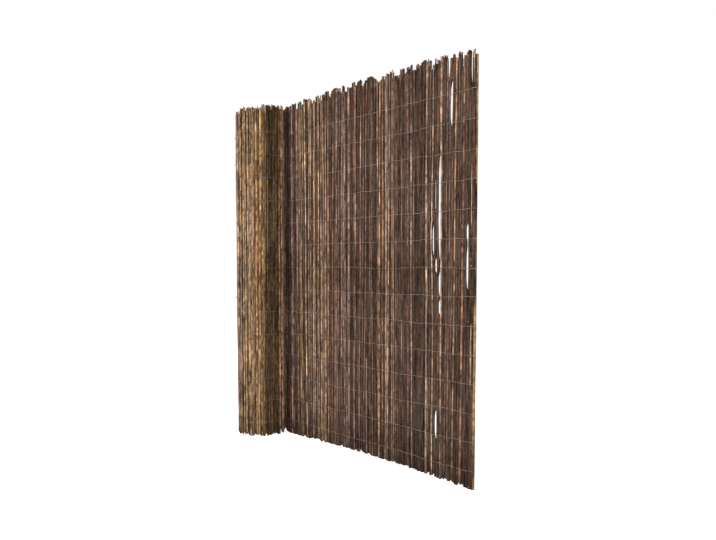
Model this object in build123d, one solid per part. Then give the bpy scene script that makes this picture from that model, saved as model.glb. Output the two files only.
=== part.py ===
from build123d import *

import math
import os
import random
from typing import NamedTuple

# Willow screening mat: unpeeled rods side by side, held by rows of binding wire.
# One end is still rolled up, and the rest stands unrolled as a straight panel.
# All sizes are in millimetres. The mat stands on its rod ends, with +Z up.
# X runs along the panel, from the roll to the free edge, and the front of the panel faces -Y.

# Mat
MAT_LENGTH = 3000.0  # along the middle of the wall, from the free edge to the inner end of the roll
MAT_HEIGHT = 1500.0  # the longest rods
PANEL_LENGTH = 1120.0  # the straight, unrolled stretch
BEND_RADIUS = 150.0  # where the panel curves back to meet the roll
BEND_ANGLE = 27.0  # degrees
CORE_RADIUS = 57.0  # middle of the wall in the innermost half turn of the roll
TURN_CLEARANCE = 2.6  # between the turns of the roll
ARCH_RISE = 12.0  # the middle of the panel is pulled up by this much
ARCH_MARGIN = 60.0  # rods this close to either end of the panel aren't pulled up

# Rods
ROD_PITCH = 15.0  # mean width of a rod along the mat
ROD_WIDTH_SPREAD = 0.3  # a rod's width differs from the mean by up to this share
ROD_FLANK = 4.0  # depth of the flat where neighbouring rods press together
ROD_CROWN = 0.22  # height of a rod's round front or back, as a share of its width
ROD_FACETS = 3  # flats that make a rod's round front or back
ROD_STAGGER = 0.36  # rods stand up to this share of the flat in front of or behind the middle of the wall
TOP_RAGGED = 28.0  # the shortest rods end this far below the longest
TOP_EVENNESS = 2.0  # the higher this power, the fewer rods are short
FOOT_RAGGED = 10.0  # the highest rod feet are this far above the ground
STANDING_SHARE = 0.45  # share of the rods that reach the ground
STANDING_EDGE = 45.0  # the rods this close to the free edge all reach the ground
ROD_SEED = 7

# Gaps between two rods: how many rods there are from the free edge to the gap, how far its middle is below the top
# and how long it is, both as shares of the mat's height, and the shares of the widths of the rod before it
# and the rod after it that are missing there
GAPS = [
    (1, 0.0, 0.12, 0.6, 0.35),
    (2, 0.0, 0.156, 0.35, 0.65),
    (5, 0.0, 0.04, 0.5, 0.5),
    (10, 0.0, 0.096, 0.6, 0.75),
    (9, 0.112, 0.115, 0.8, 0.8),
    (13, 0.345, 0.276, 0.65, 0.45),
    (14, 0.315, 0.118, 0.3, 0.75),
    (15, 0.423, 0.087, 0.6, 0.7),
    (14, 0.485, 0.047, 0.5, 0.7),
    (13, 0.53, 0.064, 0.6, 0.4),
    (13, 0.585, 0.044, 0.6, 0.4),
    (3, 0.41, 0.048, 0.5, 0.75),
    (3, 0.489, 0.111, 0.5, 0.75),
    (14, 0.868, 0.077, 0.45, 0.75),
]

# Binding wires
WIRE_FIRST = 64.0  # height of the lowest row
WIRE_LAST = 136.0  # the highest row is this far below the top of the mat
WIRE_ROWS = 14
WIRE_SIZE = 1.2
WIRE_CLEARANCE = 0.2  # between a wire and the rods that stand out furthest
WIRE_STEP = 20.0  # degrees between the corners of a wire that goes round a curve
FRONT_WIRE_STOP = 30.0  # the front strand stops this far before the panel meets the roll
BACK_WIRE_STOP = 45.0  # the back strand stops this far before the outermost turn goes under the panel


class Rod(NamedTuple):
    """A rod's start and end along the mat, its stagger and the heights of its foot and top."""

    start: float
    end: float
    stagger: float
    foot: float
    top: float

    @property
    def width(self):
        return self.end - self.start


class Run(NamedTuple):
    """A stretch of the mat with one curvature: positive turns to the left, as the roll does."""

    start: float
    length: float
    curvature: float
    point: Vector
    heading: float

    def reach(self, distance, offset=0.0):
        """The point that far along the mat, moved to the front or, in the roll, to the inside."""
        turned = self.heading + self.curvature * (distance - self.start)
        side = Vector(-math.sin(turned), math.cos(turned))
        if self.curvature == 0:
            return self.point + Vector(side.Y, -side.X) * (distance - self.start) + side * offset
        centre = self.point + Vector(-math.sin(self.heading), math.cos(self.heading)) * (1 / self.curvature)
        return centre - side * (1 / self.curvature - offset)


class MatPath:
    """The plan line of the middle of the wall, from the free edge on, as runs that are tangent to each other."""

    def __init__(self, heading, lengths_and_curvatures):
        self.runs = []
        point = Vector(0, 0)
        distance = 0.0
        for length, curvature in lengths_and_curvatures:
            self.runs.append(Run(distance, length, curvature, point, heading))
            point = self.runs[-1].reach(distance + length)
            heading += curvature * length
            distance += length

    def run_at(self, distance):
        return [run for run in self.runs if run.start <= max(distance, 0.0)][-1]

    def at(self, distance, offset=0.0):
        """The point that far from the free edge, moved to the front or, in the roll, to the inside."""
        return self.run_at(distance).reach(distance, offset)

    def wire_corner(self, distance, offset):
        """The same for a wire: out a little more on the outside of a curve, which its straight lines then clear."""
        curvature = self.run_at(distance).curvature
        if curvature * offset < 0:
            spare = 1 / math.cos(math.radians(WIRE_STEP / 2)) - 1
            offset += math.copysign((1 / abs(curvature) + abs(offset)) * spare, offset)
        return self.at(distance, offset)

    def wire_stations(self, last):
        """Where a wire that goes from the free edge to last has its corners."""
        found = []
        for run in self.runs:
            length = min(run.length, last - run.start)
            if length <= 0:
                break
            steps = max(1, math.ceil(math.degrees(abs(run.curvature) * length) / WIRE_STEP))
            found += [run.start + length * (step + 1) / steps for step in range(steps)]
        return found

    def after_turn(self, first, angle):
        """How far from the free edge the path has turned by that angle since the run that starts at first."""
        for run in self.runs:
            if run.start >= first:
                if run.curvature * run.length >= angle:
                    return run.start + angle / run.curvature
                angle -= run.curvature * run.length
        return self.runs[-1].start + self.runs[-1].length


def rod_list():
    """The rods in order from the free edge."""
    draw = random.Random(ROD_SEED)
    count = round(MAT_LENGTH / ROD_PITCH)
    widths = [1 + ROD_WIDTH_SPREAD * draw.uniform(-1, 1) for _ in range(count)]
    scale = MAT_LENGTH / sum(widths)
    rods = []
    start = 0.0
    for number, width in enumerate(widths):
        end = start + width * scale
        side = 1 if number % 2 else -1
        stagger = side * ROD_STAGGER * ROD_FLANK * draw.uniform(0.35, 1.0)
        lift = max(0.0, draw.random() - STANDING_SHARE) / (1 - STANDING_SHARE)
        foot = FOOT_RAGGED * lift if end > STANDING_EDGE else 0.0
        drop = TOP_RAGGED * draw.random() ** TOP_EVENNESS
        rise = arch_rise((start + end) / 2)
        rods.append(Rod(start, end, stagger, foot + rise, MAT_HEIGHT - drop + rise))
        start = end
    return rods


def arch_rise(distance):
    """How far a rod of the panel is pulled up."""
    share = (distance - ARCH_MARGIN) / (PANEL_LENGTH - 2 * ARCH_MARGIN)
    return ARCH_RISE * 4 * share * (1 - share) if 0 < share < 1 else 0.0


def wall_reach(rods):
    """How far the rod that stands out furthest reaches from the middle of the wall."""
    return max(abs(rod.stagger) + ROD_FLANK / 2 + ROD_CROWN * rod.width for rod in rods)


def roll_start():
    """Where the mat goes into the roll."""
    return PANEL_LENGTH + BEND_RADIUS * math.radians(BEND_ANGLE)


def mat_path(rods):
    """The panel, the bend and the roll, which is wound from its core until the mat's length is used up."""
    pitch = 2 * wall_reach(rods) + TURN_CLEARANCE
    half_turns = []
    left = MAT_LENGTH - roll_start()
    radius = CORE_RADIUS
    while left > 0:
        half_turns.append((min(math.pi * radius, left), 1 / radius))
        left -= math.pi * radius
        radius += pitch / 2
    bend = (roll_start() - PANEL_LENGTH, -1 / BEND_RADIUS)
    return MatPath(math.pi, [(PANEL_LENGTH, 0.0), bend, *reversed(half_turns)])


def round_side(first, last, height):
    """Corners of a rod's round front or back, which bulges to the right of the way from first to last."""
    chord = last - first
    crown = Vector(chord.Y, -chord.X).normalized() * height
    turns = [math.pi * step / ROD_FACETS for step in range(ROD_FACETS + 1)]
    return [first + chord * ((1 - math.cos(turn)) / 2) + crown * math.sin(turn) for turn in turns]


def rod_solid(path, rod):
    """One rod: round in front and behind, flat where it presses against its neighbours."""
    near, far = rod.stagger + ROD_FLANK / 2, rod.stagger - ROD_FLANK / 2
    height = ROD_CROWN * rod.width
    outline = [
        *round_side(path.at(rod.start, far), path.at(rod.end, far), height),
        *round_side(path.at(rod.end, near), path.at(rod.start, near), height),
    ]
    section = Face(Wire.make_polygon(outline)).moved(Location((0, 0, rod.foot)))
    return Solid.extrude(section, Vector(0, 0, rod.top - rod.foot))


def gap_solid(path, rods, number, depth, length, before, after):
    """A slit with pointed ends through the panel, after that many rods from the free edge."""
    first, second = rods[number - 1], rods[number]
    tip = MAT_HEIGHT * length / 2
    slit = Wire(
        [
            Edge.make_three_point_arc((-tip, 0), (0, after * second.width), (tip, 0)),
            Edge.make_three_point_arc((tip, 0), (0, -before * first.width), (-tip, 0)),
        ]
    )
    reach = wall_reach(rods) + TURN_CLEARANCE
    front = path.at(first.end, reach) + Vector(0, 0, MAT_HEIGHT * (1 - depth))
    place = Plane(front, x_dir=(0, 0, -1), z_dir=(0, 1, 0))
    return Solid.extrude(place * Face(slit), Vector(0, 2 * reach, 0))


def willow_mat(path, rods):
    """All the rods as the ridges of one wall, with the gaps cut through it."""
    solids = [rod_solid(path, rod) for rod in rods]
    wall = solids[0].fuse(*solids[1:])
    return wall.cut(*[gap_solid(path, rods, *gap) for gap in GAPS])


def wire_side(path, front, back, offset, loop):
    """One side of a wire in plan: back along the front of the mat, round the free edge and along behind it."""
    return [
        *[path.wire_corner(distance, offset) for distance in reversed(front)],
        path.at(-loop, offset),
        path.at(-loop, -offset),
        *[path.wire_corner(distance, -offset) for distance in back],
    ]


def binding_wire(path, rods, height):
    """One wire: along the front of the panel, round the free edge, behind the panel and round the roll."""
    front = path.wire_stations(roll_start() - FRONT_WIRE_STOP)
    back = path.wire_stations(path.after_turn(roll_start(), 2 * math.pi) - BACK_WIRE_STOP)
    offset = wall_reach(rods) + WIRE_CLEARANCE
    inside = wire_side(path, front, back, offset, WIRE_CLEARANCE)
    outside = wire_side(path, front, back, offset + WIRE_SIZE, WIRE_CLEARANCE + WIRE_SIZE)
    section = Face(Wire.make_polygon([*inside, *reversed(outside)]))
    return Solid.extrude(section.moved(Location((0, 0, height - WIRE_SIZE / 2))), Vector(0, 0, WIRE_SIZE))


def main():
    rods = rod_list()
    path = mat_path(rods)
    pieces = {"willow_mat": willow_mat(path, rods)}
    pitch = (MAT_HEIGHT - WIRE_LAST - WIRE_FIRST) / (WIRE_ROWS - 1)
    for row in range(WIRE_ROWS):
        pieces[f"binding_wire_{row + 1:02d}"] = binding_wire(path, rods, WIRE_FIRST + row * pitch)
    box = Compound(list(pieces.values())).bounding_box()
    centre = Location((-box.center().X, -box.center().Y, -box.min.Z))
    os.makedirs("parts", exist_ok=True)
    for name, piece in pieces.items():
        export_step(piece.moved(centre), os.path.join("parts", f"{name}.step"))


main()
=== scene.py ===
import logging
import math
import random
from dataclasses import dataclass, field
from enum import Enum
from typing import ClassVar, NamedTuple

import bmesh
import bpy
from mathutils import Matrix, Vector


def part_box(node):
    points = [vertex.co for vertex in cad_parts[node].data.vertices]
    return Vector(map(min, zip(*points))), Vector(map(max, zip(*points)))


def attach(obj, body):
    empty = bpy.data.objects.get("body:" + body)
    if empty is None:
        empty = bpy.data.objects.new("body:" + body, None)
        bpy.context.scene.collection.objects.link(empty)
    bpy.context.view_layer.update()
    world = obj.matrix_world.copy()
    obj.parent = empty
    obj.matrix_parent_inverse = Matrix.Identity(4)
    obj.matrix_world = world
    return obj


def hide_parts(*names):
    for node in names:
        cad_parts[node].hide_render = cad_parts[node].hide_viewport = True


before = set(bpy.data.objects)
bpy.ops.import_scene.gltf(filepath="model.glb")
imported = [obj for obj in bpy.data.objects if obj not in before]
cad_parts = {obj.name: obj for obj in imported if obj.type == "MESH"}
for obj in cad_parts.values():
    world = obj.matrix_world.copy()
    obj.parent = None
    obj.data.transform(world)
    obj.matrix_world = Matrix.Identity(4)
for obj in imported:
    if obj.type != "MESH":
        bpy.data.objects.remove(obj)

# Dresses the willow screening mat: every rod, the twined binding wires and the studio.
# All sizes are in metres, in the frame of the CAD model: +Z up, +X along the panel to the free edge.

log = logging.getLogger("willow_mat")


class BarkTint(Enum):
    """Bark colours of the willow rods, as linear colour values."""

    OLIVE_GOLD = (0.285, 0.168, 0.066)
    TAN = (0.285, 0.162, 0.084)
    BROWN = (0.225, 0.117, 0.06)
    RED_BROWN = (0.195, 0.088, 0.05)
    PURPLE_BROWN = (0.155, 0.09, 0.082)
    GREY_BROWN = (0.22, 0.142, 0.1)
    DARK_BROWN = (0.06, 0.03, 0.019)


class WireSide(Enum):
    """The side of the rods that a strand of wire passes on."""

    FRONT = 1
    BACK = -1


class TintZone(NamedTuple):
    """A stretch of the mat up to a distance from the free edge.

    It has what is added to the shares of some bark colours there, and how light they are; in the roll that
    light is partly painted light and shade.
    """

    last: float
    extra: dict[BarkTint, float]
    light: float = 1.0


class Gap(NamedTuple):
    """A slit between two rods, as in the CAD wall.

    It has the number of ridges from the free edge, its depth below the top and its length as shares of the
    mat's height, and the shares of the ridges before and after it that are missing.
    """

    number: int
    depth: float
    length: float
    before: float
    after: float


class Push(NamedTuple):
    """A sideways bow of a rod beside a gap.

    It has the height of its middle, half its length, and how far the rod goes.
    """

    height: float
    reach: float
    amount: float


class TwigSpot(NamedTuple):
    """A stub that the photograph shows.

    It has its distance from the free edge, or its turn into the roll in degrees, and its height.
    """

    distance: float
    turn: float
    height: float


class LeanWave(NamedTuple):
    """A slow wave in how neighbouring rods lean together along the mat."""

    size: float
    rate: float
    phase: float


class Lamp(NamedTuple):
    """A disk lamp, placed from the middle of the mat along the camera's right and line of sight."""

    name: str
    right: float
    ahead: float
    up: float
    size: float
    power: float


COMMON_TINTS = {
    BarkTint.BROWN: 5.0,
    BarkTint.PURPLE_BROWN: 3.0,
    BarkTint.RED_BROWN: 2.0,
    BarkTint.GREY_BROWN: 2.0,
    BarkTint.TAN: 2.0,
    BarkTint.OLIVE_GOLD: 1.5,
    BarkTint.DARK_BROWN: 1.0,
}

TINT_ZONES = [
    TintZone(0.05, {BarkTint.OLIVE_GOLD: 6.0, BarkTint.TAN: 6.0, BarkTint.BROWN: 6.0}, 0.75),
    TintZone(0.17, {BarkTint.PURPLE_BROWN: 12.0, BarkTint.RED_BROWN: 5.0}, 0.66),
    TintZone(0.33, {BarkTint.GREY_BROWN: 3.0, BarkTint.PURPLE_BROWN: 3.0, BarkTint.BROWN: 3.0}, 0.85),
    TintZone(0.56, {BarkTint.TAN: 2.0, BarkTint.RED_BROWN: 4.0, BarkTint.BROWN: 3.0}, 0.9),
    TintZone(0.83, {BarkTint.PURPLE_BROWN: 6.0, BarkTint.RED_BROWN: 4.0, BarkTint.DARK_BROWN: 3.0}, 0.9),
    TintZone(1.055, {BarkTint.OLIVE_GOLD: 9.0, BarkTint.TAN: 9.0}, 0.95),
    TintZone(1.3, {BarkTint.PURPLE_BROWN: 9.0, BarkTint.GREY_BROWN: 3.0}, 0.65),
    # Roll zones: their lights are partly bark colour and partly painted light and shade across the roll; the
    # lit side is toned down, the band up to 1.79 is painted core shade (0.32) and the band up to 1.86 is a
    # painted lit flank (1.5).
    TintZone(1.6, {BarkTint.TAN: 7.0, BarkTint.OLIVE_GOLD: 3.0, BarkTint.BROWN: 3.0}, 0.8),
    TintZone(1.65, {BarkTint.TAN: 9.0, BarkTint.OLIVE_GOLD: 7.0, BarkTint.PURPLE_BROWN: -3.0}, 0.7),
    TintZone(1.715, {BarkTint.OLIVE_GOLD: 16.0, BarkTint.TAN: 9.0, BarkTint.PURPLE_BROWN: -3.0}, 0.85),
    TintZone(1.79, {BarkTint.OLIVE_GOLD: 40.0, BarkTint.BROWN: 6.0}, 0.32),
    TintZone(1.86, {BarkTint.TAN: 9.0, BarkTint.GREY_BROWN: 7.0}, 1.5),
    TintZone(9.0, {BarkTint.OLIVE_GOLD: 5.0, BarkTint.BROWN: 4.0}, 0.85),
]

GAPS = [
    Gap(1, 0.0, 0.12, 0.6, 0.35),
    Gap(2, 0.0, 0.156, 0.35, 0.65),
    Gap(5, 0.0, 0.04, 0.5, 0.5),
    Gap(10, 0.0, 0.096, 0.6, 0.75),
    Gap(9, 0.112, 0.115, 0.8, 0.8),
    Gap(13, 0.345, 0.276, 0.65, 0.45),
    Gap(14, 0.315, 0.118, 0.3, 0.75),
    Gap(15, 0.423, 0.087, 0.6, 0.7),
    Gap(14, 0.485, 0.047, 0.5, 0.7),
    Gap(13, 0.53, 0.064, 0.6, 0.4),
    Gap(13, 0.585, 0.044, 0.6, 0.4),
    Gap(3, 0.41, 0.048, 0.5, 0.75),
    Gap(3, 0.489, 0.111, 0.5, 0.75),
    Gap(14, 0.868, 0.077, 0.45, 0.75),
]

SEEN_TWIGS = [
    TwigSpot(0.819, 0.0, 0.694),
    TwigSpot(0.508, 0.0, 0.861),
    TwigSpot(0.0, 258.0, 1.252),
    TwigSpot(0.0, 168.0, 0.681),
]

LEAN_WAVES = [
    LeanWave(0.009, 9.0, -1.6),
    LeanWave(0.005, 37.0, 1.0),
]

LAMPS = [
    Lamp("key_lamp", -3.4, -1.25, 1.7, 0.7, 162.0),
    Lamp("fill_lamp", 0.2, -3.3, 1.4, 0.8, 112.0),
    Lamp("back_lamp", 2.84, 1.89, 1.4, 1.6, 100.0),
]


class Cell(NamedTuple):
    """A ridge of the CAD wall.

    It has its start and end along the mat, its stagger and the heights of its foot and top.
    """

    start: float
    end: float
    stagger: float
    foot: float
    top: float

    @property
    def width(self) -> float:
        """Width along the mat."""
        return self.end - self.start


@dataclass(frozen=True)
class PlanRun:
    """A stretch of the mat's plan line with one curvature, positive where it turns left, as in the roll."""

    start: float
    length: float
    curvature: float
    point: Vector
    heading: float

    def spot(self, distance: float) -> tuple[Vector, Vector]:
        """Finds a point of the run and the direction to the front of the mat there.

        Args:
            distance: How far the point is from the free edge.

        Returns:
            The point and the unit vector to the front, which is the inside in the roll.
        """
        turned = self.heading + self.curvature * (distance - self.start)
        side = Vector((-math.sin(turned), math.cos(turned)))
        if self.curvature == 0:
            return self.point + Vector((side.y, -side.x)) * (distance - self.start), side
        first_side = Vector((-math.sin(self.heading), math.cos(self.heading)))
        return self.point + (first_side - side) / self.curvature, side


@dataclass
class MatPlan:
    """The ridges of the CAD wall and the line that they stand on, worked out from the CAD source's sizes."""

    length: float = 3.0
    height: float = 1.5
    panel_length: float = 1.12
    bend_radius: float = 0.15
    bend_angle: float = 27.0
    core_radius: float = 0.057
    turn_clearance: float = 0.0026
    arch_rise: float = 0.012
    arch_margin: float = 0.06
    rod_pitch: float = 0.015
    rod_width_spread: float = 0.3
    rod_flank: float = 0.004
    rod_crown: float = 0.22
    rod_facets: int = 3
    rod_stagger: float = 0.36
    stagger_range: tuple[float, float] = (0.35, 1.0)
    top_ragged: float = 0.028
    top_evenness: float = 2.0
    foot_ragged: float = 0.01
    standing_share: float = 0.45
    standing_edge: float = 0.045
    rod_seed: int = 7
    cells: list[Cell] = field(default_factory=list, init=False)
    runs: list[PlanRun] = field(default_factory=list, init=False)

    def __post_init__(self) -> None:
        """Lays out the ridges and the plan line, and moves the line to where the CAD wall stands."""
        self.cells = self.lay_out_cells()
        self.runs = self.lay_out_runs(Vector((0, 0)))
        corners = [self.spot(cell.start + cell.width / 2, side * self.reach_of(cell))
                   for cell in self.cells for side in (1, -1)]
        low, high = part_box("willow_mat")
        shift = Vector((high[0], low[1] - min(corner.y for corner in corners)))
        self.runs = self.lay_out_runs(shift)

    @property
    def roll_start(self) -> float:
        """Where the mat goes into the roll."""
        return self.panel_length + self.bend_radius * math.radians(self.bend_angle)

    def reach_of(self, cell: Cell) -> float:
        """How far a ridge reaches from the middle of the wall."""
        flats = math.sin(math.pi / self.rod_facets)
        return self.rod_flank / 2 + flats * self.rod_crown * cell.width + abs(cell.stagger)

    def lay_out_cells(self) -> list[Cell]:
        """Lists the ridges in order from the free edge, with the same draws as the CAD source."""
        draw = random.Random(self.rod_seed)
        count = round(self.length / self.rod_pitch)
        widths = [1 + self.rod_width_spread * draw.uniform(-1, 1) for _ in range(count)]
        scale = self.length / sum(widths)
        cells = []
        start = 0.0
        for number, width in enumerate(widths):
            end = start + width * scale
            side = 1 if number % 2 else -1
            stagger = side * self.rod_stagger * self.rod_flank * draw.uniform(*self.stagger_range)
            lift = max(0.0, draw.random() - self.standing_share) / (1 - self.standing_share)
            foot = self.foot_ragged * lift if end > self.standing_edge else 0.0
            drop = self.top_ragged * draw.random() ** self.top_evenness
            rise = self.arch((start + end) / 2)
            cells.append(Cell(start, end, stagger, foot + rise, self.height - drop + rise))
            start = end
        return cells

    def arch(self, distance: float) -> float:
        """How far the panel is pulled up at that distance."""
        share = (distance - self.arch_margin) / (self.panel_length - 2 * self.arch_margin)
        return self.arch_rise * 4 * share * (1 - share) if 0 < share < 1 else 0.0

    def lay_out_runs(self, point: Vector) -> list[PlanRun]:
        """Lists the panel, the bend and the half turns of the roll.

        Args:
            point: Where the free edge is.

        Returns:
            The runs in order from the free edge.
        """
        reach = max(abs(c.stagger) + self.rod_flank / 2 + self.rod_crown * c.width for c in self.cells)
        left = self.length - self.roll_start
        radius = self.core_radius
        half_turns = []
        while left > 0:
            half_turns.append((min(math.pi * radius, left), 1 / radius))
            left -= math.pi * radius
            radius += reach + self.turn_clearance / 2
        bend = (self.roll_start - self.panel_length, -1 / self.bend_radius)
        runs = []
        distance, heading = 0.0, math.pi
        for length, curvature in [(self.panel_length, 0.0), bend, *reversed(half_turns)]:
            runs.append(PlanRun(distance, length, curvature, point, heading))
            point = runs[-1].spot(distance + length)[0]
            heading += curvature * length
            distance += length
        return runs

    def axes(self, distance: float) -> tuple[Vector, Vector]:
        """The plan line's point at that distance from the free edge, and the direction to the front."""
        run = [r for r in self.runs if r.start <= max(distance, 0.0)][-1]
        return run.spot(distance)

    def spot(self, distance: float, offset: float) -> Vector:
        """The point in plan at that distance and that far in front of the middle of the wall."""
        point, side = self.axes(distance)
        return point + side * offset

    def after_turn(self, angle: float) -> float:
        """Finds where the roll has turned by an angle.

        Args:
            angle: The angle from the start of the roll, in radians.

        Returns:
            The distance from the free edge.
        """
        _panel, _bend, *half_turns = self.runs
        for run in half_turns:
            if run.curvature * run.length >= angle:
                return run.start + angle / run.curvature
            angle -= run.curvature * run.length
        return self.length


@dataclass
class WillowRod:
    """One rod: where it stands, its thickness, its bends and its bark colour."""

    SPANS: ClassVar[int] = 6
    LEAST_SPAN: ClassVar[float] = 0.012
    PUSH_STEPS: ClassVar[tuple[float, ...]] = (-1, -0.8, -0.5, 0, 0.5, 0.8, 1)
    PUSH_FLATNESS: ClassVar[int] = 4
    LEAN_HEIGHT: ClassVar[float] = 1.5
    DEPTH_SHARE: ClassVar[float] = 0.4
    DEPTH_RATE: ClassVar[float] = 1.7

    distance: float
    depth: float
    radius: float
    foot: float
    top: float
    tint: tuple[float, float, float]
    taper: float
    lean: float
    wave: float
    wave_length: float
    phase: float
    slant: float
    slant_turn: float
    pattern: Vector
    pushes: list[Push] = field(default_factory=list)

    def heights(self) -> list[float]:
        """Lists the heights of the rod's rings, closer together where a gap bows it.

        Returns:
            The heights from foot to top.
        """
        found = [self.foot + (self.top - self.foot) * step / self.SPANS for step in range(self.SPANS + 1)]
        for push in self.pushes:
            found += [push.height + push.reach * step for step in self.PUSH_STEPS]
        inside = sorted(h for h in found if self.foot < h < self.top)
        kept = [self.foot]
        for height in inside:
            if height - kept[-1] > self.LEAST_SPAN and self.top - height > self.LEAST_SPAN:
                kept.append(height)
        return [*kept, self.top]

    def thickness(self, height: float) -> float:
        """The rod's radius at that height."""
        share = (height - self.foot) / (self.top - self.foot)
        return self.radius * (1 + self.taper * (share - 0.5))

    def centre(self, height: float) -> tuple[float, float]:
        """Follows the rod's bends.

        Args:
            height: Height above the ground.

        Returns:
            How far the rod's middle is from the free edge and in front of the middle of the wall.
        """
        share = height / self.LEAN_HEIGHT - 0.5
        turn = math.tau * height / self.wave_length + self.phase
        along = self.distance + self.lean * share + self.wave * math.sin(turn)
        for push in self.pushes:
            near = (height - push.height) / push.reach
            if abs(near) < 1:
                along += push.amount * (1 - near**self.PUSH_FLATNESS)
        return along, self.depth + self.DEPTH_SHARE * self.wave * math.cos(self.DEPTH_RATE * turn)


@dataclass(frozen=True)
class RodHabit:
    """How rods taper, lean, bend and are cut, given for a rod that fills a ridge."""

    taper: tuple[float, float] = (0.1, 0.35)
    most_taper: float = 1.5
    lean: float = 0.004
    wave: float = 0.0012
    wave_spread: float = 0.001
    tight_waves: tuple[float, float] = (0.95, 1.15)
    free_waves: tuple[float, float] = (0.55, 1.15)
    phase_rate: float = 9.0
    phase_spread: float = 0.9
    slant: tuple[float, float] = (0.1, 0.8)
    pattern_reach: float = 9.0


@dataclass
class BarkPainter:
    """Draws the rods' bark colours by the zones along the mat."""

    roll_start: float
    zone_blur: float = 0.02
    roll_blur: float = 0.008
    light_spread: float = 0.57
    roll_spread: float = 0.32
    light_range: tuple[float, float] = (0.24, 1.3)
    light_swing: float = 0.78
    warm_spread: float = 0.05
    pale_from: float = 0.6
    pale_share: float = 0.6
    roll_pale: float = 0.2
    pale_hue: tuple[float, float, float] = (1.17, 0.98, 0.85)
    tone: float = field(default=0.0, init=False)

    def tint(self, draw: random.Random, distance: float) -> tuple[float, float, float]:
        """Draws the colour of the next rod, which is often darker after a light one.

        Args:
            draw: Source of chance.
            distance: How far the rod is from the free edge.

        Returns:
            The linear colour.
        """
        in_roll = distance > self.roll_start
        place = distance + draw.gauss(0, self.roll_blur if in_roll else self.zone_blur)
        zone = next(zone for zone in TINT_ZONES if place <= zone.last)
        shares = [share + zone.extra.get(tint, 0.0) for tint, share in COMMON_TINTS.items()]
        red, green, blue = draw.choices(list(COMMON_TINTS), shares)[0].value
        fresh = math.sqrt(1 - self.light_swing**2) * draw.gauss(0, 1)
        self.tone = fresh - self.light_swing * self.tone
        low, high = self.light_range
        spread = self.roll_spread if in_roll else self.light_spread
        light = zone.light * min(high, max(low, math.exp(spread * self.tone)))
        warm = math.exp(draw.gauss(0, self.warm_spread))
        pale_share = self.roll_pale if in_roll else self.pale_share
        pale = min(1.0, max(0.0, pale_share * (light - self.pale_from)))
        grey = (red + green + blue) / 3
        parts = (red * warm, green, blue / warm)
        return tuple(light * (part + pale * (grey * hue - part)) for part, hue in zip(parts, self.pale_hue))


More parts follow.
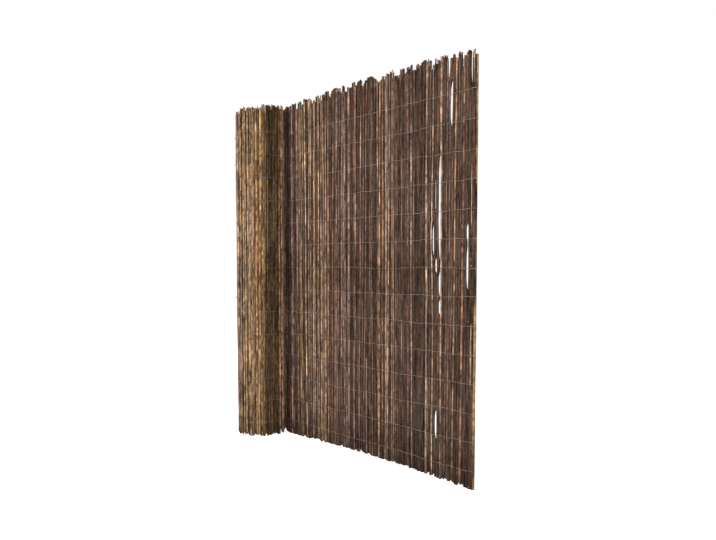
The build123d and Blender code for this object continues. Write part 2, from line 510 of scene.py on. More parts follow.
@dataclass
class RodBundle:
    """Chooses the rods of the mat.

    One or two fill each ridge of the CAD wall, and thin ones behind them, darkened as painted shade, close
    it. A thin one lies at many of the seams, before the others or behind them.
    """

    plan: MatPlan
    habit: RodHabit = RodHabit()
    seed: int = 1874

    # Rods that fill a ridge, alone or in a pair
    rod_share: float = 0.35
    rod_spread: tuple[float, float] = (0.92, 1.08)
    pair_chance: float = 0.8
    pair_split: tuple[float, float] = (0.36, 0.64)
    pair_share: float = 0.4
    pair_spread: tuple[float, float] = (0.9, 1.1)
    pair_depth: float = 0.0032
    pair_drop: float = 0.012
    pair_loose: float = 1.3
    foot_lift: float = 0.011

    # Rods beside gaps
    gap_bow: tuple[float, float] = (0.4, 0.62)
    gap_reach: float = 1.05
    notch_bow: float = 0.45
    gap_stagger: float = 0.2
    gap_depth: float = 0.002
    gap_loose: float = 0.6
    bow_ridges: int = 4
    bow_fade: float = 0.5

    # Thin rods in the middle of the wall: dark bark, darkened further as painted shade between the rods
    inner_shade_light: tuple[float, float] = (0.3, 0.7)
    inner_radius: float = 0.0046
    inner_spread: tuple[float, float] = (0.95, 1.1)
    inner_drop: float = 0.02
    inner_loose: float = 0.15

    # Thin rods at the seams
    seam_chance: float = 0.68
    seam_radius: tuple[float, float] = (0.0021, 0.0033)
    seam_depth: tuple[float, float] = (0.003, 0.0056)
    seam_lift: float = 0.006
    seam_drop: float = 0.03
    seam_loose: float = 2.4

    # The slope of the roll's upper end
    slump: float = 0.036
    slump_way: Vector = field(default_factory=lambda: Vector((-0.63, -0.78)))

    painter: BarkPainter = field(init=False)
    rods: list[WillowRod] = field(default_factory=list, init=False)

    def __post_init__(self) -> None:
        """Fills the list of rods."""
        self.painter = BarkPainter(self.plan.roll_start)
        draw = random.Random(self.seed)
        ridge_pushes, seam_pushes = self.pushes()
        cells = self.plan.cells
        for number, cell in enumerate(cells):
            pushes = ridge_pushes.get(number, [])
            self.rods += self.ridge_rods(draw, number, cell, pushes)
            if number + 1 == len(cells):
                break
            after = cells[number + 1]
            bows = seam_pushes.get(number, pushes)
            notches = [gap.length for gap in GAPS if gap.number == number + 1 and not gap.depth]
            top = min(cell.top, after.top) - max(notches, default=0.0) * self.plan.height / 2
            if cell.end < self.plan.roll_start:
                self.rods.append(self.inner_rod(draw, (cell.start + cell.end) / 2, cell, cell.top, pushes))
                self.rods.append(self.inner_rod(draw, cell.end, cell, top, bows))
            if draw.random() < self.seam_chance and number not in seam_pushes:
                self.rods.append(self.seam_rod(draw, cell, after, pushes))

    def pushes(self) -> tuple[dict[int, list[Push]], dict[int, list[Push]]]:
        """Works out how the gaps bow the rods beside them.

        Returns:
            The bows of the rods in each ridge, and those of the thin rods at the seams that open.
        """
        ridges: dict[int, list[Push]] = {}
        seams: dict[int, list[Push]] = {}
        cells = self.plan.cells
        for gap in GAPS:
            height = self.plan.height * (1 - gap.depth)
            reach = self.gap_reach * self.plan.height * gap.length / 2
            sides = ((gap.number - 1, -1, gap.before), (gap.number, 1, gap.after))
            for (number, way, share), gap_bow in zip(sides, self.gap_bow):
                bow = gap_bow if gap.depth else self.notch_bow
                amount = bow * (share - 0.5 + self.rod_share) * cells[number].width
                for further in range(self.bow_ridges):
                    beside = number + way * further
                    if 0 < beside < len(cells):
                        push = Push(height, reach, way * amount * self.bow_fade**further)
                        ridges.setdefault(beside, []).append(push)
            opened = Push(height, reach, amount + cells[gap.number].width / 2)
            seams.setdefault(gap.number - 1, []).append(opened)
        return ridges, seams

    def settle(self, distance: float, top: float) -> float:
        """Lowers a rod's top at the outer side of the roll, where the roll's upper end slopes.

        Args:
            distance: Place along the mat.
            top: Height of the rod's upper end in a level mat.

        Returns:
            Height of its upper end.
        """
        if distance < self.plan.roll_start:
            return top
        centre = self.plan.axes(self.plan.length)[0]
        out = (self.plan.axes(distance)[0] - centre).dot(self.slump_way)
        reach = (self.plan.axes(self.plan.roll_start)[0] - centre).length
        return top - self.slump * min(1.0, max(0.0, 0.5 + 0.5 * out / reach))

    @staticmethod
    def common_lean(distance: float) -> float:
        """How far neighbouring rods lean together, which changes slowly along the mat."""
        return sum(wave.size * math.sin(wave.rate * distance + wave.phase) for wave in LEAN_WAVES)

    def rod(self, draw: random.Random, tint: tuple[float, float, float], distance: float, depth: float,
            radius: float, foot: float, top: float, loose: float, pushes: list[Push]) -> WillowRod:
        """Makes a rod with bends and cuts of its own.

        Args:
            draw: Source of chance.
            tint: Its bark colour.
            distance: Place along the mat.
            depth: How far it is in front of the middle of the wall.
            radius: Radius at half height.
            foot: Height of its lower end.
            top: Height of its upper end in a level mat.
            loose: How freely it leans and bends, with 1 for a rod that fills a ridge.
            pushes: Bows beside gaps.

        Returns:
            The rod.
        """
        habit = self.habit
        return WillowRod(
            distance, depth, radius, foot, self.settle(distance, top), tint,
            taper=draw.choice((-1, 1)) * draw.uniform(*habit.taper) * min(habit.most_taper, loose),
            lean=self.common_lean(distance) + loose * draw.uniform(-habit.lean, habit.lean),
            wave=habit.wave + loose * draw.uniform(-habit.wave_spread, habit.wave_spread),
            wave_length=draw.uniform(*(habit.tight_waves if loose < 1 else habit.free_waves)),
            phase=habit.phase_rate * distance + loose * draw.uniform(-habit.phase_spread, habit.phase_spread),
            slant=draw.uniform(*habit.slant),
            slant_turn=draw.uniform(0, math.tau),
            pattern=Vector([draw.uniform(-habit.pattern_reach, habit.pattern_reach) for _ in "xyz"]),
            pushes=pushes,
        )

    def ridge_rods(self, draw: random.Random, number: int, cell: Cell, pushes: list[Push]) -> list[WillowRod]:
        """Makes the rod, or the two thinner rods, in a ridge of the CAD wall.

        Args:
            draw: Source of chance.
            number: The ridge's number from the free edge.
            cell: The ridge.
            pushes: Bows beside gaps.

        Returns:
            The rods.
        """
        if number == 0 or draw.random() > self.pair_chance:
            radius = self.rod_share * cell.width * draw.uniform(*self.rod_spread)
            middle = (cell.start + cell.end) / 2 if number else cell.start + radius
            depth = cell.stagger * (self.gap_stagger if pushes else 1.0)
            loose = self.gap_loose if pushes else 1.0
            tint = self.painter.tint(draw, middle)
            return [self.rod(draw, tint, middle, depth, radius, cell.foot, cell.top, loose, pushes)]
        split = cell.start + cell.width * draw.uniform(*self.pair_split)
        made = []
        for first, last, side in ((cell.start, split, 1), (split, cell.end, -1)):
            radius = self.pair_share * (last - first) * draw.uniform(*self.pair_spread)
            depth = cell.stagger + side * draw.uniform(-self.pair_depth, self.pair_depth)
            if pushes:
                depth = self.gap_stagger * cell.stagger + side * self.gap_depth
            top = cell.top - draw.uniform(0.0, self.pair_drop)
            middle = (first + last) / 2
            loose = self.gap_loose if pushes else self.pair_loose
            foot = cell.foot + draw.choice((0.0, self.foot_lift * draw.random()))
            tint = self.painter.tint(draw, middle)
            made.append(self.rod(draw, tint, middle, depth, radius, foot, top, loose, pushes))
        return made

    def inner_rod(self, draw: random.Random, distance: float, cell: Cell, top: float,
                  pushes: list[Push]) -> WillowRod:
        """Makes a thin rod in the middle of the wall, which closes it behind the others; its dark bark is
        darkened further as painted shade.

        Args:
            draw: Source of chance.
            distance: Place along the mat.
            cell: The ridge that it is in or beside.
            top: The most that its upper end may reach.
            pushes: Bows beside gaps.

        Returns:
            The rod.
        """
        radius = self.inner_radius * draw.uniform(*self.inner_spread)
        # Painted shade: the dark bark colour is scaled down so that these rods read as shade between the
        # outer rods.
        light = draw.uniform(*self.inner_shade_light)
        tint = tuple(light * part for part in BarkTint.DARK_BROWN.value)
        upper = top - draw.uniform(0.0, self.inner_drop)
        return self.rod(draw, tint, distance, 0.0, radius, cell.foot, upper, self.inner_loose, pushes)

    def seam_rod(self, draw: random.Random, cell: Cell, after: Cell, pushes: list[Push]) -> WillowRod:
        """Makes a thin rod at the seam between two ridges, before the others or behind them.

        Args:
            draw: Source of chance.
            cell: The ridge before the seam.
            after: The ridge after it.
            pushes: Bows beside gaps.

        Returns:
            The rod.
        """
        radius = draw.uniform(*self.seam_radius)
        depth = draw.choice((-1, 1)) * draw.uniform(*self.seam_depth)
        foot = min(cell.foot, after.foot) + draw.uniform(0.0, self.seam_lift)
        top = max(cell.top, after.top) - draw.uniform(0.0, self.seam_drop)
        tint = self.painter.tint(draw, cell.end)
        return self.rod(draw, tint, cell.end, depth, radius, foot, top, self.seam_loose, pushes)


class NodeSketch:
    """A node tree in the making."""

    def __init__(self, tree: bpy.types.NodeTree) -> None:
        """Starts from an empty tree."""
        self.tree = tree
        tree.nodes.clear()

    def add(self, kind: str, settings: dict | None = None, inputs: dict | None = None) -> bpy.types.Node:
        """Adds a node.

        Args:
            kind: The node's type name.
            settings: Values of its properties.
            inputs: Values or sockets for its inputs, by name or number.

        Returns:
            The node.
        """
        node = self.tree.nodes.new(kind)
        for name, value in (settings or {}).items():
            setattr(node, name, value)
        for name, value in (inputs or {}).items():
            if isinstance(value, bpy.types.NodeSocket):
                self.tree.links.new(value, node.inputs[name])
            else:
                node.inputs[name].default_value = value
        return node

    def attribute(self, name: str, output: str) -> bpy.types.NodeSocket:
        """Reads a layer of the mesh."""
        return self.add("ShaderNodeAttribute", {"attribute_name": name}).outputs[output]

    def math(self, operation: str, first: object, second: object = 0.0) -> bpy.types.NodeSocket:
        """Adds a Math node and gives its output."""
        return self.add("ShaderNodeMath", {"operation": operation}, {0: first, 1: second}).outputs[0]

    def stretch(self, vector: bpy.types.NodeSocket, scale: tuple[float, ...]) -> bpy.types.NodeSocket:
        """Multiplies a vector by another and gives the result."""
        return self.add("ShaderNodeVectorMath", {"operation": "MULTIPLY"}, {0: vector, 1: scale}).outputs[0]

    def lighten(self, colour: bpy.types.NodeSocket, light: bpy.types.NodeSocket) -> bpy.types.NodeSocket:
        """Multiplies a colour by a value and gives the result."""
        inputs = {0: colour, "Scale": light}
        return self.add("ShaderNodeVectorMath", {"operation": "SCALE"}, inputs).outputs[0]

    def noise(self, vector: bpy.types.NodeSocket, scale: float, detail: float) -> bpy.types.NodeSocket:
        """Adds a Noise Texture and gives its value."""
        inputs = {"Vector": vector, "Scale": scale, "Detail": detail}
        return self.add("ShaderNodeTexNoise", None, inputs).outputs["Fac"]

    def dots(self, vector: bpy.types.NodeSocket, scale: float) -> bpy.types.NodeSocket:
        """Adds a Voronoi Texture and gives the distance to its points."""
        return self.add("ShaderNodeTexVoronoi", None, {"Vector": vector, "Scale": scale}).outputs["Distance"]

    def span(self, value: bpy.types.NodeSocket, low: float, high: float, to_low: float, to_high: float
             ) -> bpy.types.NodeSocket:
        """Adds a Map Range node and gives its result."""
        inputs = {"Value": value, "From Min": low, "From Max": high, "To Min": to_low, "To Max": to_high}
        return self.add("ShaderNodeMapRange", None, inputs).outputs["Result"]

    def mix(self, blend: str, share: object, first: object, second: object) -> bpy.types.NodeSocket:
        """Adds a colour Mix node and gives its result."""
        settings = {"data_type": "RGBA", "blend_type": blend}
        return self.add("ShaderNodeMix", settings, {0: share, 6: first, 7: second}).outputs[2]

    def bump(self, height: bpy.types.NodeSocket, strength: float, distance: float) -> bpy.types.NodeSocket:
        """Adds a Bump node and gives its normal."""
        inputs = {"Strength": strength, "Distance": distance, "Height": height}
        return self.add("ShaderNodeBump", None, inputs).outputs["Normal"]

    def principled(self, inputs: dict) -> None:
        """Ends a material with a Principled shader."""
        shader = self.add("ShaderNodeBsdfPrincipled", None, inputs)
        self.add("ShaderNodeOutputMaterial", None, {"Surface": shader.outputs["BSDF"]})


def new_material(name: str) -> tuple[bpy.types.Material, NodeSketch]:
    """Makes a material and starts its node tree.

    Args:
        name: The material's name.

    Returns:
        The material and the sketch of its nodes.
    """
    made = bpy.data.materials.new(name)
    made.use_nodes = True
    return made, NodeSketch(made.node_tree)


def add_object(name: str, data: bpy.types.ID) -> bpy.types.Object:
    """Makes an object and puts it into the scene.

    Args:
        name: The object's name.
        data: Its mesh, curve, light or camera.

    Returns:
        The object.
    """
    made = bpy.data.objects.new(name, data)
    bpy.context.scene.collection.objects.link(made)
    return made


def add_mesh(name: str, shape: bmesh.types.BMesh, finishes: list[bpy.types.Material]) -> bpy.types.Object:
    """Turns a finished shape into an object.

    Args:
        name: The name of the mesh and the object.
        shape: The shape, which is freed.
        finishes: The mesh's materials.

    Returns:
        The object.
    """
    mesh = bpy.data.meshes.new(name)
    shape.to_mesh(mesh)
    shape.free()
    for finish in finishes:
        mesh.materials.append(finish)
    return add_object(name, mesh)


class WeatherGroup:
    """The grey bloom and dark stains of outdoor use, shared by bark, cut wood and wire."""

    name = "weathering"

    @classmethod
    def tree(cls) -> bpy.types.NodeTree:
        """Gives the node group, made on first use.

        Returns:
            The node group.
        """
        made = bpy.data.node_groups.get(cls.name)
        if made:
            return made
        group = bpy.data.node_groups.new(cls.name, "ShaderNodeTree")
        sketch = NodeSketch(group)
        for name, kind in (("Color", "Color"), ("Place", "Vector"), ("Bloom", "Float"), ("Stain", "Float")):
            group.interface.new_socket(name, in_out="INPUT", socket_type=f"NodeSocket{kind}")
        group.interface.new_socket("Color", in_out="OUTPUT", socket_type="NodeSocketColor")
        given = sketch.add("NodeGroupInput").outputs
        patches = sketch.noise(sketch.stretch(given["Place"], (1, 1, 0.25)), 22.0, 3.0)
        stains = sketch.noise(sketch.stretch(given["Place"], (1, 1, 0.12)), 75.0, 2.0)
        bloom = sketch.math("MULTIPLY", sketch.span(patches, 0.45, 0.7, 0.0, 1.0), given["Bloom"])
        stain = sketch.math("MULTIPLY", sketch.span(stains, 0.56, 0.74, 0.0, 1.0), given["Stain"])
        greyed = sketch.mix("MIX", bloom, given["Color"], (0.2, 0.146, 0.115, 1))
        stained = sketch.mix("MULTIPLY", stain, greyed, (0.32, 0.26, 0.24, 1))
        sketch.add("NodeGroupOutput", None, {"Color": stained})
        return group

    @classmethod
    def age(cls, sketch: NodeSketch, colour: bpy.types.NodeSocket, place: bpy.types.NodeSocket, bloom: float,
            stain: float) -> bpy.types.NodeSocket:
        """Places the group in a material and gives its colour."""
        inputs = {"Color": colour, "Place": place, "Bloom": bloom, "Stain": stain}
        return sketch.add("ShaderNodeGroup", {"node_tree": cls.tree()}, inputs).outputs["Color"]


@dataclass(frozen=True)
class BarkFinish:
    """Satin willow bark: each rod's own colour, with streaks, pale pores, bloom and painted shade in the
    grooves between rods.
    """

    name: str = "willow_bark"
    bump: float = 0.0006
    bloom: float = 0.2
    stain: float = 0.8
    groove_shade: float = 0.1
    pore_share: float = 0.35
    pore_colour: tuple[float, float, float, float] = (0.36, 0.27, 0.18, 1)
    scar_colour: tuple[float, float, float, float] = (0.03, 0.02, 0.016, 1)
    specular: float = 0.07

    def material(self) -> bpy.types.Material:
        """Builds the material.

        Returns:
            The material.
        """
        made, sketch = new_material(self.name)
        tint = sketch.attribute("bark_tint", "Color")
        place = sketch.attribute("bark_place", "Vector")
        front = sketch.attribute("bark_front", "Fac")
        streaks = sketch.noise(sketch.stretch(place, (1, 1, 0.05)), 520.0, 4.0)
        bands = sketch.noise(sketch.stretch(place, (0.2, 0.2, 1)), 9.0, 3.0)
        flecks = sketch.noise(sketch.stretch(place, (0.4, 0.4, 1)), 45.0, 2.0)
        pore = sketch.span(sketch.dots(sketch.stretch(place, (1, 1, 1.6)), 150.0), 0.12, 0.22, 1.0, 0.0)
        scar = sketch.span(sketch.dots(sketch.stretch(place, (1, 1, 0.3)), 60.0), 0.05, 0.13, 0.85, 0.0)
        light = sketch.span(streaks, 0.25, 0.75, 0.6, 1.4)
        light = sketch.math("MULTIPLY", light, sketch.span(bands, 0.34, 0.66, 0.35, 1.75))
        light = sketch.math("MULTIPLY", light, sketch.span(flecks, 0.34, 0.66, 0.4, 1.6))
        # Painted shade: bark that turns away from the front and back, into the grooves between rods, is
        # darkened.
        light = sketch.math("MULTIPLY", light, sketch.span(front, 0.1, 0.8, self.groove_shade, 1.0))
        aged = WeatherGroup.age(sketch, sketch.lighten(tint, light), place, self.bloom, self.stain)
        pored = sketch.mix("MIX", sketch.math("MULTIPLY", pore, self.pore_share), aged, self.pore_colour)
        height = sketch.math("ADD", streaks, sketch.math("MULTIPLY", pore, 0.5))
        sketch.principled({
            "Base Color": sketch.mix("MIX", scar, pored, self.scar_colour),
            "Roughness": sketch.span(streaks, 0.3, 0.7, 0.55, 0.8),
            "Normal": sketch.bump(height, 0.6, self.bump),
            "Specular IOR Level": self.specular,
        })
        return made


@dataclass(frozen=True)
class CutWoodFinish:
    """The sawn end of a rod: pith, pale wood with fine rings and a rim of bark."""

    name: str = "cut_willow"
    bump: float = 0.0003
    bloom: float = 0.55
    stain: float = 0.8
    pith: tuple[float, float, float, float] = (0.1, 0.06, 0.035, 1)
    rim: tuple[float, float, float, float] = (0.09, 0.06, 0.045, 1)
    ring_rate: float = 28.0

    def material(self) -> bpy.types.Material:
        """Builds the material.

        Returns:
            The material.
        """
        made, sketch = new_material(self.name)
        ring = sketch.attribute("cut_ring", "Fac")
        place = sketch.attribute("bark_place", "Vector")
        ramp = sketch.add("ShaderNodeValToRGB", None, {"Fac": ring})
        stops = ramp.color_ramp.elements
        stops[0].color = self.pith
        stops[1].color = self.rim
        for spot, colour in (
            (0.1, (0.16, 0.1, 0.06, 1)),
            (0.16, (0.5, 0.36, 0.21, 1)),
            (0.5, (0.56, 0.42, 0.26, 1)),
            (0.84, (0.46, 0.33, 0.19, 1)),
            (0.9, (0.16, 0.1, 0.07, 1)),
        ):
            stops.new(spot).color = colour
        waves = sketch.math("SINE", sketch.math("MULTIPLY", ring, self.ring_rate))
        toned = sketch.lighten(ramp.outputs["Color"], sketch.span(waves, -1.0, 1.0, 0.8, 1.08))
        grain = sketch.noise(place, 1500.0, 2.0)
        sketch.principled({
            "Base Color": WeatherGroup.age(sketch, toned, place, self.bloom, self.stain),
            "Roughness": sketch.span(grain, 0.3, 0.7, 0.7, 0.9),
            "Normal": sketch.bump(grain, 0.5, self.bump),
        })
        return made


@dataclass(frozen=True)
class WireFinish:
    """Dull galvanised wire with spangle and a little rust."""

    name: str = "galvanised_wire"
    bump: float = 0.0002
    bloom: float = 0.2
    stain: float = 0.4
    most_rust: float = 0.8
    zinc: tuple[float, float, float, float] = (0.24, 0.205, 0.17, 1)
    rust: tuple[float, float, float, float] = (0.13, 0.08, 0.05, 1)

    def material(self) -> bpy.types.Material:
        """Builds the material.

        Returns:
            The material.
        """
        made, sketch = new_material(self.name)
        place = sketch.add("ShaderNodeTexCoord").outputs["Object"]
        spangle = sketch.noise(place, 900.0, 2.0)
        rusty = sketch.span(sketch.noise(place, 26.0, 3.0), 0.42, 0.66, 0.0, self.most_rust)
        zinc = sketch.mix("MIX", rusty, self.zinc, self.rust)
        sketch.principled({
            "Base Color": WeatherGroup.age(sketch, zinc, place, self.bloom, self.stain),
            "Roughness": sketch.span(spangle, 0.3, 0.7, 0.38, 0.6),
            "Metallic": sketch.span(rusty, 0.0, self.most_rust, 0.6, 0.2),
            "Normal": sketch.bump(spangle, 0.3, self.bump),
        })
        return made


class BarkLayers(NamedTuple):
    """Vertex layers that the finishes read.

    They hold a rod's colour, the place in its pattern, how near a point of a cut end is to the bark, and how
    squarely the bark faces the front or the back of the mat, which sets the painted shade in the grooves.
    """

    tint: bmesh.types.BMLayerItem
    place: bmesh.types.BMLayerItem
    ring: bmesh.types.BMLayerItem
    front: bmesh.types.BMLayerItem

    @classmethod
    def of(cls, shape: bmesh.types.BMesh) -> "BarkLayers":
        """Adds the layers to a mesh in the making.

        Args:
            shape: The mesh.

        Returns:
            Its layers.
        """
        layers = shape.verts.layers
        return cls(
            tint=layers.float_color.new("bark_tint"),
            place=layers.float_vector.new("bark_place"),
            ring=layers.float.new("cut_ring"),
            front=layers.float.new("bark_front"),
        )


@dataclass
class RodMesher:
    """Turns rods into meshes: a round bar from bmesh operators, bent, tapered and cut for each rod."""

    plan: MatPlan
    finishes: list[bpy.types.Material]
    sides: int = 8
    bars: dict[int, bpy.types.Mesh] = field(default_factory=dict, init=False)

    def bar(self, spans: int) -> bpy.types.Mesh:
        """Makes a straight bar of radius 1 with one ring for each whole height, and fans for its ends.

        Args:
            spans: How many lengths the bar is divided into.

        Returns:
            The mesh, kept for the next rod with as many spans.
        """
        if spans not in self.bars:
            shape = bmesh.new()
            bmesh.ops.create_circle(shape, cap_ends=True, segments=self.sides, radius=1.0)
            end = shape.faces[:][0]
            for _ in range(spans):
                grown = bmesh.ops.extrude_face_region(shape, geom=[end])["geom"]
                end = next(item for item in grown if isinstance(item, bmesh.types.BMFace))
                bmesh.ops.translate(shape, vec=(0, 0, 1), verts=end.verts[:])
            bmesh.ops.recalc_face_normals(shape, faces=shape.faces[:])
            ends = [face for face in shape.faces if abs(face.normal.z) > 0.5]
            for face in bmesh.ops.poke(shape, faces=ends)["faces"]:
                face.material_index = 1
            for face in shape.faces:
                face.smooth = face.material_index == 0
            self.bars[spans] = bpy.data.meshes.new(f"rod_bar_{spans}")
            shape.to_mesh(self.bars[spans])
            shape.free()
        return self.bars[spans]

    def piece(self, name: str, rods: list[WillowRod]) -> bpy.types.Object:
        """Builds one piece from a list of rods.

        Args:
            name: The piece's name.
            rods: The rods in it.

        Returns:
            The piece, in its finish.
        """
        shape = bmesh.new()
        layers = BarkLayers.of(shape)
        for rod in rods:
            heights = rod.heights()
            bar = self.bar(len(heights) - 1)
            shape.from_mesh(bar)
            shape.verts.ensure_lookup_table()
            for vert in shape.verts[-len(bar.vertices):]:
                spot = self.bent(rod, vert.co, heights)
                radius = rod.thickness(heights[round(vert.co.z)])
                vert[layers.tint] = (*rod.tint, 1.0)
                vert[layers.place] = Vector((vert.co.x * radius, vert.co.y * radius, spot.z)) + rod.pattern
                vert[layers.ring] = min(1.0, math.hypot(vert.co.x, vert.co.y))
                # Mask of the painted groove shade: how squarely the bark faces front or back; the rod at the
                # free edge gets none.
                vert[layers.front] = abs(vert.co.y) if rod.distance > rod.radius else 1.0
                vert.co = spot
        return add_mesh(name, shape, self.finishes)

    def bent(self, rod: WillowRod, corner: Vector, heights: list[float]) -> Vector:
        """Finds where a corner of the straight bar goes.

        Args:
            rod: The rod that the bar becomes.
            corner: The corner, on the bar of radius 1 with a ring for each whole height.
            heights: The rod's ring heights.

        Returns:
            The corner's place in the mat.
        """
        step = round(corner.z)
        height = heights[step]
        radius = rod.thickness(height)
        along, depth = rod.centre(height)
        point, front = self.plan.axes(along)
        forward = Vector((front.y, -front.x))
        spot = point + front * (depth + radius * corner.y) + forward * (radius * corner.x)
        if step in (0, len(heights) - 1):
            across = corner.x * math.cos(rod.slant_turn) + corner.y * math.sin(rod.slant_turn)
            height += rod.slant * radius * across
            if step == len(heights) - 1:
                height -= rod.slant * radius
        return Vector((spot.x, spot.y, max(0.0, height)))


@dataclass
class BindingWire:
    """One row of wire: two strands that swap sides between groups of rods, joined round the free edge."""

    plan: MatPlan
    rods: list[WillowRod]
    finish: bpy.types.Material
    row: int
    first_height: float = 0.064
    last_depth: float = 0.136
    rows: int = 14
    radius: float = 0.0006
    stop: float = 0.045
    first_seed: int = 100
    group_sizes: tuple[int, ...] = (2, 2, 3, 4)
    crossing: float = -0.4
    twist: float = 1.1
    sways: int = 3
    sway_size: tuple[float, float] = (0.0004, 0.0013)
    sway_length: tuple[float, float] = (0.15, 0.7)

    @property
    def height(self) -> float:
        """The row's height."""
        pitch = (self.plan.height - self.last_depth - self.first_height) / (self.rows - 1)
        return self.first_height + self.row * pitch

    def groups(self, draw: random.Random) -> list[tuple[float, float]]:
        """Divides the visible rods into the small groups that the strands cross between.

        Args:
            draw: Source of chance.

        Returns:
            Where each group starts and ends along the mat.
        """
        last = self.plan.after_turn(math.tau) - self.stop
        seams = [0.0, *[cell.end for cell in self.plan.cells if cell.end < last]]
        found = []
        at = 0
        while at + 1 < len(seams):
            after = min(at + draw.choice(self.group_sizes), len(seams) - 1)
            found.append((seams[at], seams[after]))
            at = after
        return found

    def over(self, group: tuple[float, float], side: WireSide) -> list[tuple[float, float]]:
        """Pulls a strand tight over a group of rods.

        Args:
            group: Where the group starts and ends along the mat.
            side: The side of the rods that the strand passes on.

        Returns:
            Points of the strand, as distances along the mat and in front of the middle of the wall.
        """
        points = []
        for rod in self.rods:
            along, depth = rod.centre(self.height)
            if group[0] <= along < group[1] and rod.foot < self.height < rod.top:
                points.append((along, side.value * depth + rod.thickness(self.height) + self.radius))
        hull: list[tuple[float, float]] = []
        for point in sorted(points):
            while len(hull) > 1 and self.sags(hull[-2], hull[-1], point):
                hull.pop()
            hull.append(point)
        return [(along, side.value * depth) for along, depth in hull]

    @staticmethod
    def sags(first: tuple[float, float], middle: tuple[float, float], last: tuple[float, float]) -> bool:
        """Tells whether the middle one of three points is below the line of the other two."""
        return (middle[1] - first[1]) * (last[0] - first[0]) <= (last[1] - first[1]) * (middle[0] - first[0])

    def strand(self, groups: list[tuple[float, float]], side: WireSide) -> list[tuple[float, float]]:
        """Lists the points of one strand from the free edge on.

        Args:
            groups: Where each group of rods starts and ends along the mat.
            side: The side that the strand starts on.

        Returns:
            Its points, as distances along the mat and in front of the middle of the wall.
        """
        points = []
        for group in groups:
            points += self.over(group, side)
            points.append((group[1], side.value * self.crossing * self.radius))
            side = WireSide(-side.value)
        return points

    def build(self) -> bpy.types.Object:
        """Builds the row as one bevelled curve.

        Returns:
            The piece, in its finish.
        """
        draw = random.Random(self.first_seed + self.row)
        groups = self.groups(draw)
        edge = self.rods[0]
        along, depth = edge.centre(self.height)
        tip = along - edge.thickness(self.height) - self.radius
        half = edge.thickness(self.height) / 2
        loop = [(tip, depth + half), (tip, depth - half)]
        front = self.strand(groups, WireSide.FRONT)
        back = self.strand(groups, WireSide.BACK)
        waves = [(draw.uniform(*self.sway_size), draw.uniform(*self.sway_length), draw.uniform(0, math.tau))
                 for _ in range(self.sways)]
        line = bpy.data.curves.new(f"twined_wire_{self.row + 1:02d}", "CURVE")
        line.dimensions = "3D"
        line.bevel_depth = self.radius
        line.bevel_resolution = 1
        line.resolution_u = 2
        line.use_fill_caps = True
        route = [*reversed(front), *loop, *back]
        spline = line.splines.new("BEZIER")
        spline.bezier_points.add(len(route) - 1)
        for number, (place, offset) in enumerate(route):
            spot = self.plan.spot(place, offset)
            sway = sum(size * math.sin(math.tau * place / length + turn) for size, length, turn in waves)
            twist = self.radius * (self.twist if number < len(front) else -self.twist)
            knot = spline.bezier_points[number]
            knot.co = (spot.x, spot.y, self.height + sway + twist)
            knot.handle_left_type = knot.handle_right_type = "AUTO"
        line.materials.append(self.finish)
        return add_object(line.name, line)


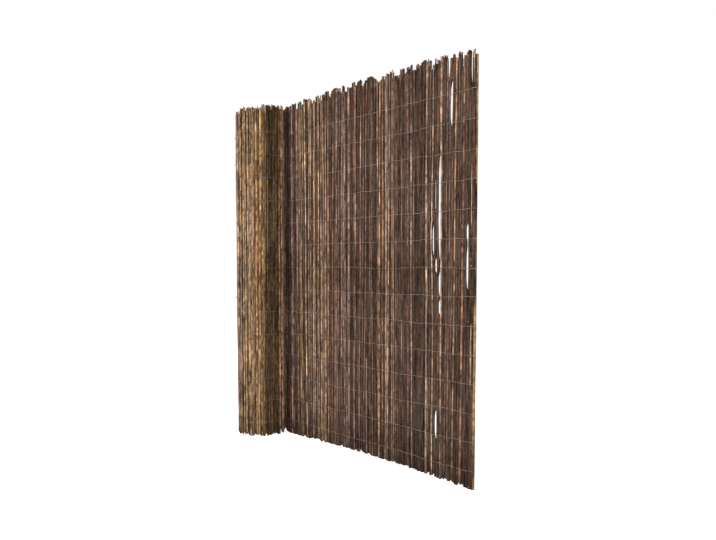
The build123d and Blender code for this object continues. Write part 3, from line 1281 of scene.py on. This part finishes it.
@dataclass
class SideTwigs:
    """Stubs of pruned side twigs and buds on the outer rods, with pale cut ends."""

    plan: MatPlan
    rods: list[WillowRod]
    finishes: list[bpy.types.Material]
    count: int = 120
    seed: int = 41
    margin: float = 0.05
    behind_share: float = 0.4
    side_spread: float = 0.5
    rise: tuple[float, float] = (0.5, 1.2)
    length: tuple[float, float] = (0.003, 0.009)
    radius: tuple[float, float] = (0.0016, 0.0026)
    sunk: float = 0.001
    sides: int = 7
    taper: float = 0.65
    shade: float = 0.7

    def build(self) -> bpy.types.Object:
        """Builds all stubs as one piece.

        Returns:
            The piece, in its finish.
        """
        draw = random.Random(self.seed)
        shape = bmesh.new()
        layers = BarkLayers.of(shape)
        for spot in SEEN_TWIGS:
            distance = self.plan.after_turn(math.radians(spot.turn)) if spot.turn else spot.distance
            rod = min(self.rods, key=lambda rod: abs(rod.distance - distance))
            self.stub(shape, layers, rod, spot.height, -1 if spot.turn else 1, draw)
        outer = [rod for rod in self.rods if rod.distance < self.plan.after_turn(math.tau)]
        for _ in range(self.count):
            rod = draw.choice(outer)
            height = draw.uniform(rod.foot + self.margin, rod.top - self.margin)
            in_roll = rod.distance > self.plan.roll_start
            side = -1 if in_roll or draw.random() < self.behind_share else 1
            self.stub(shape, layers, rod, height, side, draw)
        return add_mesh("twig_stubs", shape, self.finishes)

    def stub(self, shape: bmesh.types.BMesh, layers: BarkLayers, rod: WillowRod, height: float, side: int,
             draw: random.Random) -> None:
        """Adds one stub that grows out of a rod.

        Args:
            shape: The mesh in the making.
            layers: Its layers.
            rod: The rod that carries the stub.
            height: Height of the stub's root.
            side: 1 on the front of the mat and -1 behind it.
            draw: Source of chance.
        """
        along, depth = rod.centre(height)
        point, front = self.plan.axes(along)
        forward = Vector((front.y, -front.x))
        sideways = draw.uniform(-self.side_spread, self.side_spread)
        out = (front * side + forward * sideways).normalized()
        way = Vector((out.x, out.y, draw.uniform(*self.rise))).normalized()
        length = draw.uniform(*self.length)
        root = draw.uniform(*self.radius)
        spot = point + front * depth + out * (rod.thickness(height) - self.sunk)
        base = Vector((spot.x, spot.y, height))
        grown = bmesh.ops.create_cone(shape, cap_ends=True, segments=self.sides, radius1=root,
                                      radius2=self.taper * root, depth=length)
        turn = Vector((0, 0, 1)).rotation_difference(way).to_matrix().to_4x4()
        faces = {face for vert in grown["verts"] for face in vert.link_faces}
        end = max(faces, key=lambda face: face.calc_center_median().z)
        for face in faces:
            face.smooth = len(face.verts) == 4
        fan = bmesh.ops.poke(shape, faces=[end])
        for face in fan["faces"]:
            face.material_index = 1
        verts = [*grown["verts"], *fan["verts"]]
        for vert in verts:
            vert[layers.tint] = (*[self.shade * part for part in rod.tint], 1.0)
            vert[layers.place] = vert.co + rod.pattern
            vert[layers.ring] = 0.0 if vert in fan["verts"] else 1.0
            vert[layers.front] = 1.0
        bmesh.ops.translate(shape, vec=(0, 0, length / 2), verts=verts)
        bmesh.ops.transform(shape, matrix=turn, verts=verts)
        bmesh.ops.translate(shape, vec=base, verts=verts)


@dataclass
class Studio:
    """White floor and backdrop, three lamps, and the camera that took the photograph."""

    plan: MatPlan
    camera_height: float = 0.7717
    camera_right: float = 0.3997
    camera_back: float = 2.5077
    azimuth: float = 51.3
    pitch: float = 3.44
    focal_pixels: float = 741.2
    image_width: float = 716.0
    axis_below_centre: float = 40.3
    sensor_width: float = 36.0
    floor_size: float = 40.0
    floor_white: tuple[float, float, float, float] = (0.86, 0.86, 0.86, 1)
    floor_glow: float = 0.9
    ambient: float = 0.13
    lamp_aim: Vector = field(default_factory=lambda: Vector((0.0, 0.0, 0.75)))

    def build(self) -> None:
        """Builds the whole studio."""
        self.floor()
        self.world()
        self.lamps()
        self.camera()
        bpy.context.scene.view_settings.view_transform = "Standard"

    def floor(self) -> None:
        """Lays the white floor, which the object's soft shadow falls on."""
        paint, sketch = new_material("studio_white")
        path = sketch.add("ShaderNodeLightPath").outputs
        seen = sketch.math("MAXIMUM", path["Is Camera Ray"], path["Is Glossy Ray"])
        matt = sketch.add("ShaderNodeBsdfDiffuse", None, {"Color": self.floor_white})
        strength = sketch.math("MULTIPLY", seen, self.floor_glow)
        glow = sketch.add("ShaderNodeEmission", None, {"Strength": strength})
        both = sketch.add("ShaderNodeAddShader", None, {0: matt.outputs[0], 1: glow.outputs[0]})
        sketch.add("ShaderNodeOutputMaterial", None, {"Surface": both.outputs[0]})
        shape = bmesh.new()
        bmesh.ops.create_grid(shape, x_segments=1, y_segments=1, size=self.floor_size / 2)
        add_mesh("studio_floor", shape, [paint])

    def world(self) -> None:
        """Sets the white backdrop that the camera sees and the softer light that reaches the mat."""
        world = bpy.data.worlds.new("studio_world")
        world.use_nodes = True
        bpy.context.scene.world = world
        sketch = NodeSketch(world.node_tree)
        path = sketch.add("ShaderNodeLightPath").outputs
        seen = sketch.math("MAXIMUM", path["Is Camera Ray"], path["Is Glossy Ray"])
        seen = sketch.math("MAXIMUM", seen, path["Is Transmission Ray"])
        light = sketch.span(seen, 0.0, 1.0, self.ambient, 1.0)
        back = sketch.add("ShaderNodeBackground", None, {"Color": (1, 1, 1, 1), "Strength": light})
        sketch.add("ShaderNodeOutputWorld", None, {"Surface": back.outputs[0]})

    def lamps(self) -> None:
        """Hangs the key lamp at the left, the fill lamp near the camera and the back lamp behind the mat."""
        right, look = self.directions()
        for lamp in LAMPS:
            light = bpy.data.lights.new(lamp.name, "AREA")
            light.shape = "DISK"
            light.size = lamp.size
            light.energy = lamp.power
            place = lamp.right * right + lamp.ahead * look + Vector((0, 0, lamp.up))
            made = add_object(lamp.name, light)
            made.location = self.lamp_aim + place
            made.rotation_euler = (-place).to_track_quat("-Z", "Y").to_euler()

    def directions(self) -> tuple[Vector, Vector]:
        """The camera's right and its level line of sight."""
        turn = math.radians(self.azimuth)
        return Vector((math.cos(turn), math.sin(turn), 0)), Vector((-math.sin(turn), math.cos(turn), 0))

    def camera(self) -> None:
        """Places the camera as the photograph was taken, from the foot of the mat's free edge."""
        right, look = self.directions()
        edge = self.plan.spot(0.0, 0.0)
        above = Vector((edge.x, edge.y, self.camera_height))
        tilt = math.radians(self.pitch)
        aim = look * math.cos(tilt) - Vector((0, 0, math.sin(tilt)))
        lens = bpy.data.cameras.new("photo_camera")
        lens.sensor_width = self.sensor_width
        lens.lens = self.sensor_width * self.focal_pixels / self.image_width
        lens.shift_y = self.axis_below_centre / self.image_width
        made = add_object("photo_camera", lens)
        made.location = above - right * self.camera_right - look * self.camera_back
        made.rotation_euler = aim.to_track_quat("-Z", "Y").to_euler()
        bpy.context.scene.camera = made


def dress(piece: bpy.types.Object, node: str) -> None:
    """Fixes a piece to the mat and lets it stand for a CAD node.

    Args:
        piece: The piece.
        node: The CAD node.
    """
    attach(piece, "root")
    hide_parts(node)
    log.info("built %s for %s", piece.name, node)


def main() -> None:
    """Builds the mat and the studio."""
    logging.basicConfig(level=logging.INFO, format="%(name)s: %(message)s")
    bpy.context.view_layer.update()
    plan = MatPlan()
    rods = RodBundle(plan).rods
    wood = [BarkFinish().material(), CutWoodFinish().material()]
    mesher = RodMesher(plan, wood)
    panel = [rod for rod in rods if rod.distance <= plan.roll_start]
    roll = [rod for rod in rods if rod.distance > plan.roll_start]
    dress(mesher.piece("willow_rods_panel", panel), "willow_mat")
    dress(mesher.piece("willow_rods_roll", roll), "willow_mat")
    dress(SideTwigs(plan, rods, wood).build(), "willow_mat")
    zinc = WireFinish().material()
    for row, node in enumerate(sorted(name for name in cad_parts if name.startswith("binding_wire"))):
        dress(BindingWire(plan, rods, zinc, row).build(), node)
    Studio(plan).build()


if __name__ == "__main__":
    main()
